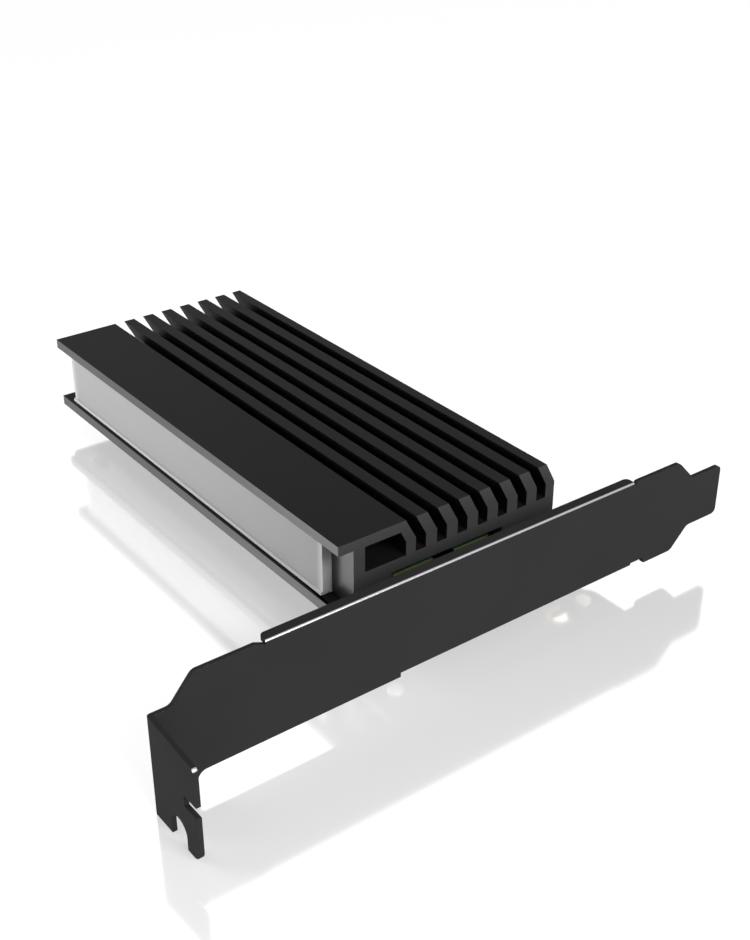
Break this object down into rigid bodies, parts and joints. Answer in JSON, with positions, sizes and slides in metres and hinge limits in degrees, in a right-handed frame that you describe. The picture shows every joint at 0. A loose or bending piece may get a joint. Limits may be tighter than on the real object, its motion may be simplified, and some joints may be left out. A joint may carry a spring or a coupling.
{
  "type": "nvme adapter card",
  "caption": "Expansion card that carries a solid-state module on a black board under a finned heatsink with a light bar, held by a full-height slot bracket.",
  "frame": {"origin": "middle of the contact edge's key, on the edge's tip line and half-way through the board", "axes": "+X the way the card is pushed into its socket, +Y back from the mounting bracket, +Z out of the component side"},
  "size_m": [0.12, 0.1315, 0.0228],
  "materials": {
    "board_black": "black solder mask over glass epoxy",
    "gold_plating": "gold over nickel",
    "tin_plating": "tinned copper alloy",
    "socket_plastic": "moulded black plastic",
    "led_resin": "clear resin over a white body",
    "ceramic": "brown ceramic with tinned ends",
    "screw_steel": "nickel-plated steel",
    "screw_black": "blackened steel",
    "pad_silicone": "grey silicone with filler",
    "module_green": "green solder mask over glass epoxy",
    "chip_epoxy": "black moulding compound",
    "heatsink_black": "black anodised extrusion",
    "frosted_acrylic": "frosted clear acrylic",
    "bracket_black": "satin black powder coat on steel"
  },
  "bodies": {
    "root": {"main_board": "board_black", "board_contacts_top": "gold_plating", "board_contacts_bottom": "gold_plating", "slot_platings": "gold_plating", "thermal_field": "gold_plating", "light_leds": "led_resin", "coupling_capacitors": "ceramic", "m2_socket": "socket_plastic", "m2_socket_contacts": "tin_plating", "m2_standoff": "screw_steel", "m2_screw": "screw_black", "lower_thermal_pad": "pad_silicone", "upper_thermal_pad": "pad_silicone", "module_board": "module_green", "module_contacts": "gold_plating", "front_memory_chip": "chip_epoxy", "cache_chip": "chip_epoxy", "rear_memory_chip": "chip_epoxy", "controller_chip": "chip_epoxy", "module_passives": "ceramic", "heatsink": "heatsink_black", "light_bar": "frosted_acrylic", "heatsink_screws": "screw_black", "bracket": "bracket_black", "bracket_screws": "screw_steel"}
  },
  "joints": []
}
